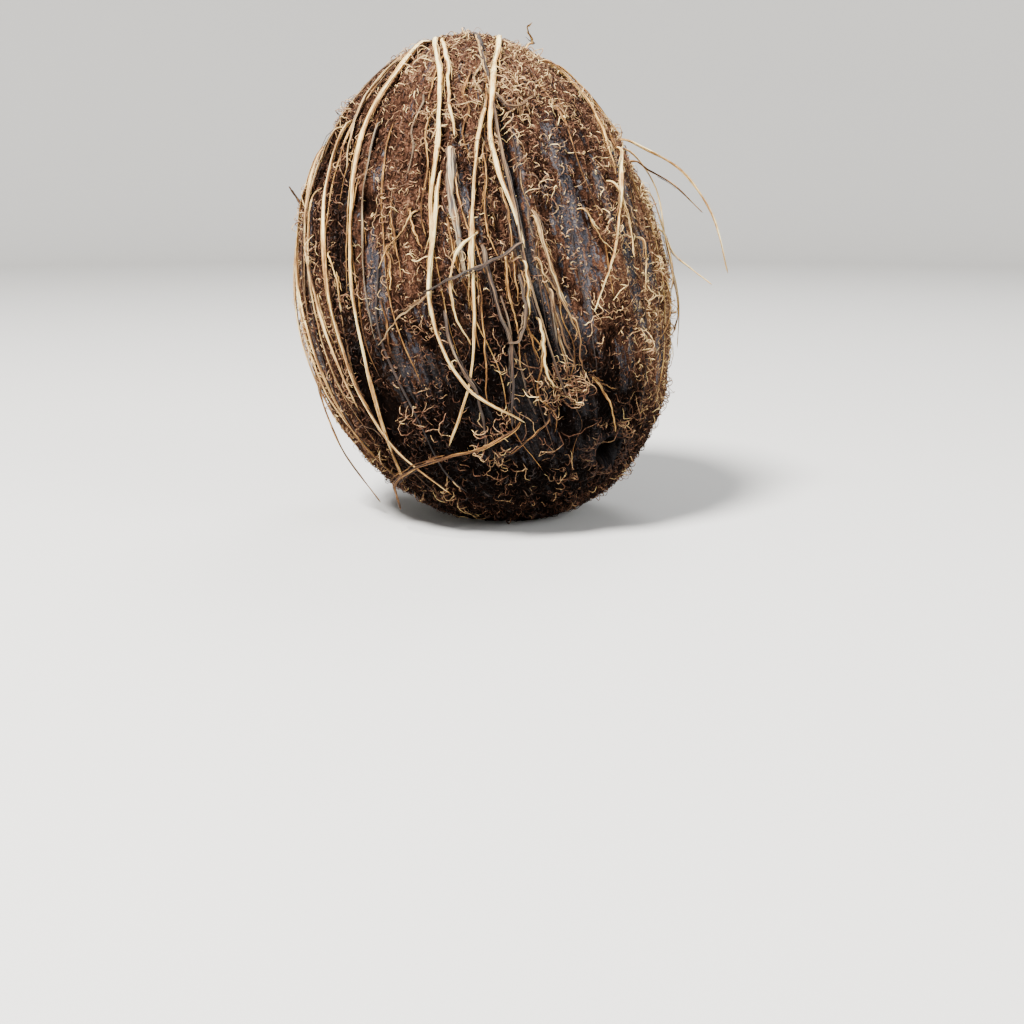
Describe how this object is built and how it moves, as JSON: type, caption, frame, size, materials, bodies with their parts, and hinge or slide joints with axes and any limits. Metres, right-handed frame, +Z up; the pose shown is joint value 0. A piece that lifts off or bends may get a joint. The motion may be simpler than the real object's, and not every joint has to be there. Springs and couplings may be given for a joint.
{
  "type": "coconut",
  "caption": "Whole brown coconut with its husk off: an egg-shaped shell with eyes, coir fuzz and loose fibre strands, standing on a small flat spot.",
  "frame": {"origin": "on the small flat spot at the stem end, under the centre of mass, on the surface that the nut stands on", "axes": "+Z up, along the nut's height from the resting spot to the tip; +X towards the side with the two long stray strands; -Y towards the face with the long straw strands and the eye that shows"},
  "size_m": [0.1332, 0.1148, 0.1462],
  "materials": {
    "coir": "matte, fibrous"
  },
  "bodies": {
    "root": {"coconut": "coir"}
  },
  "joints": []
}
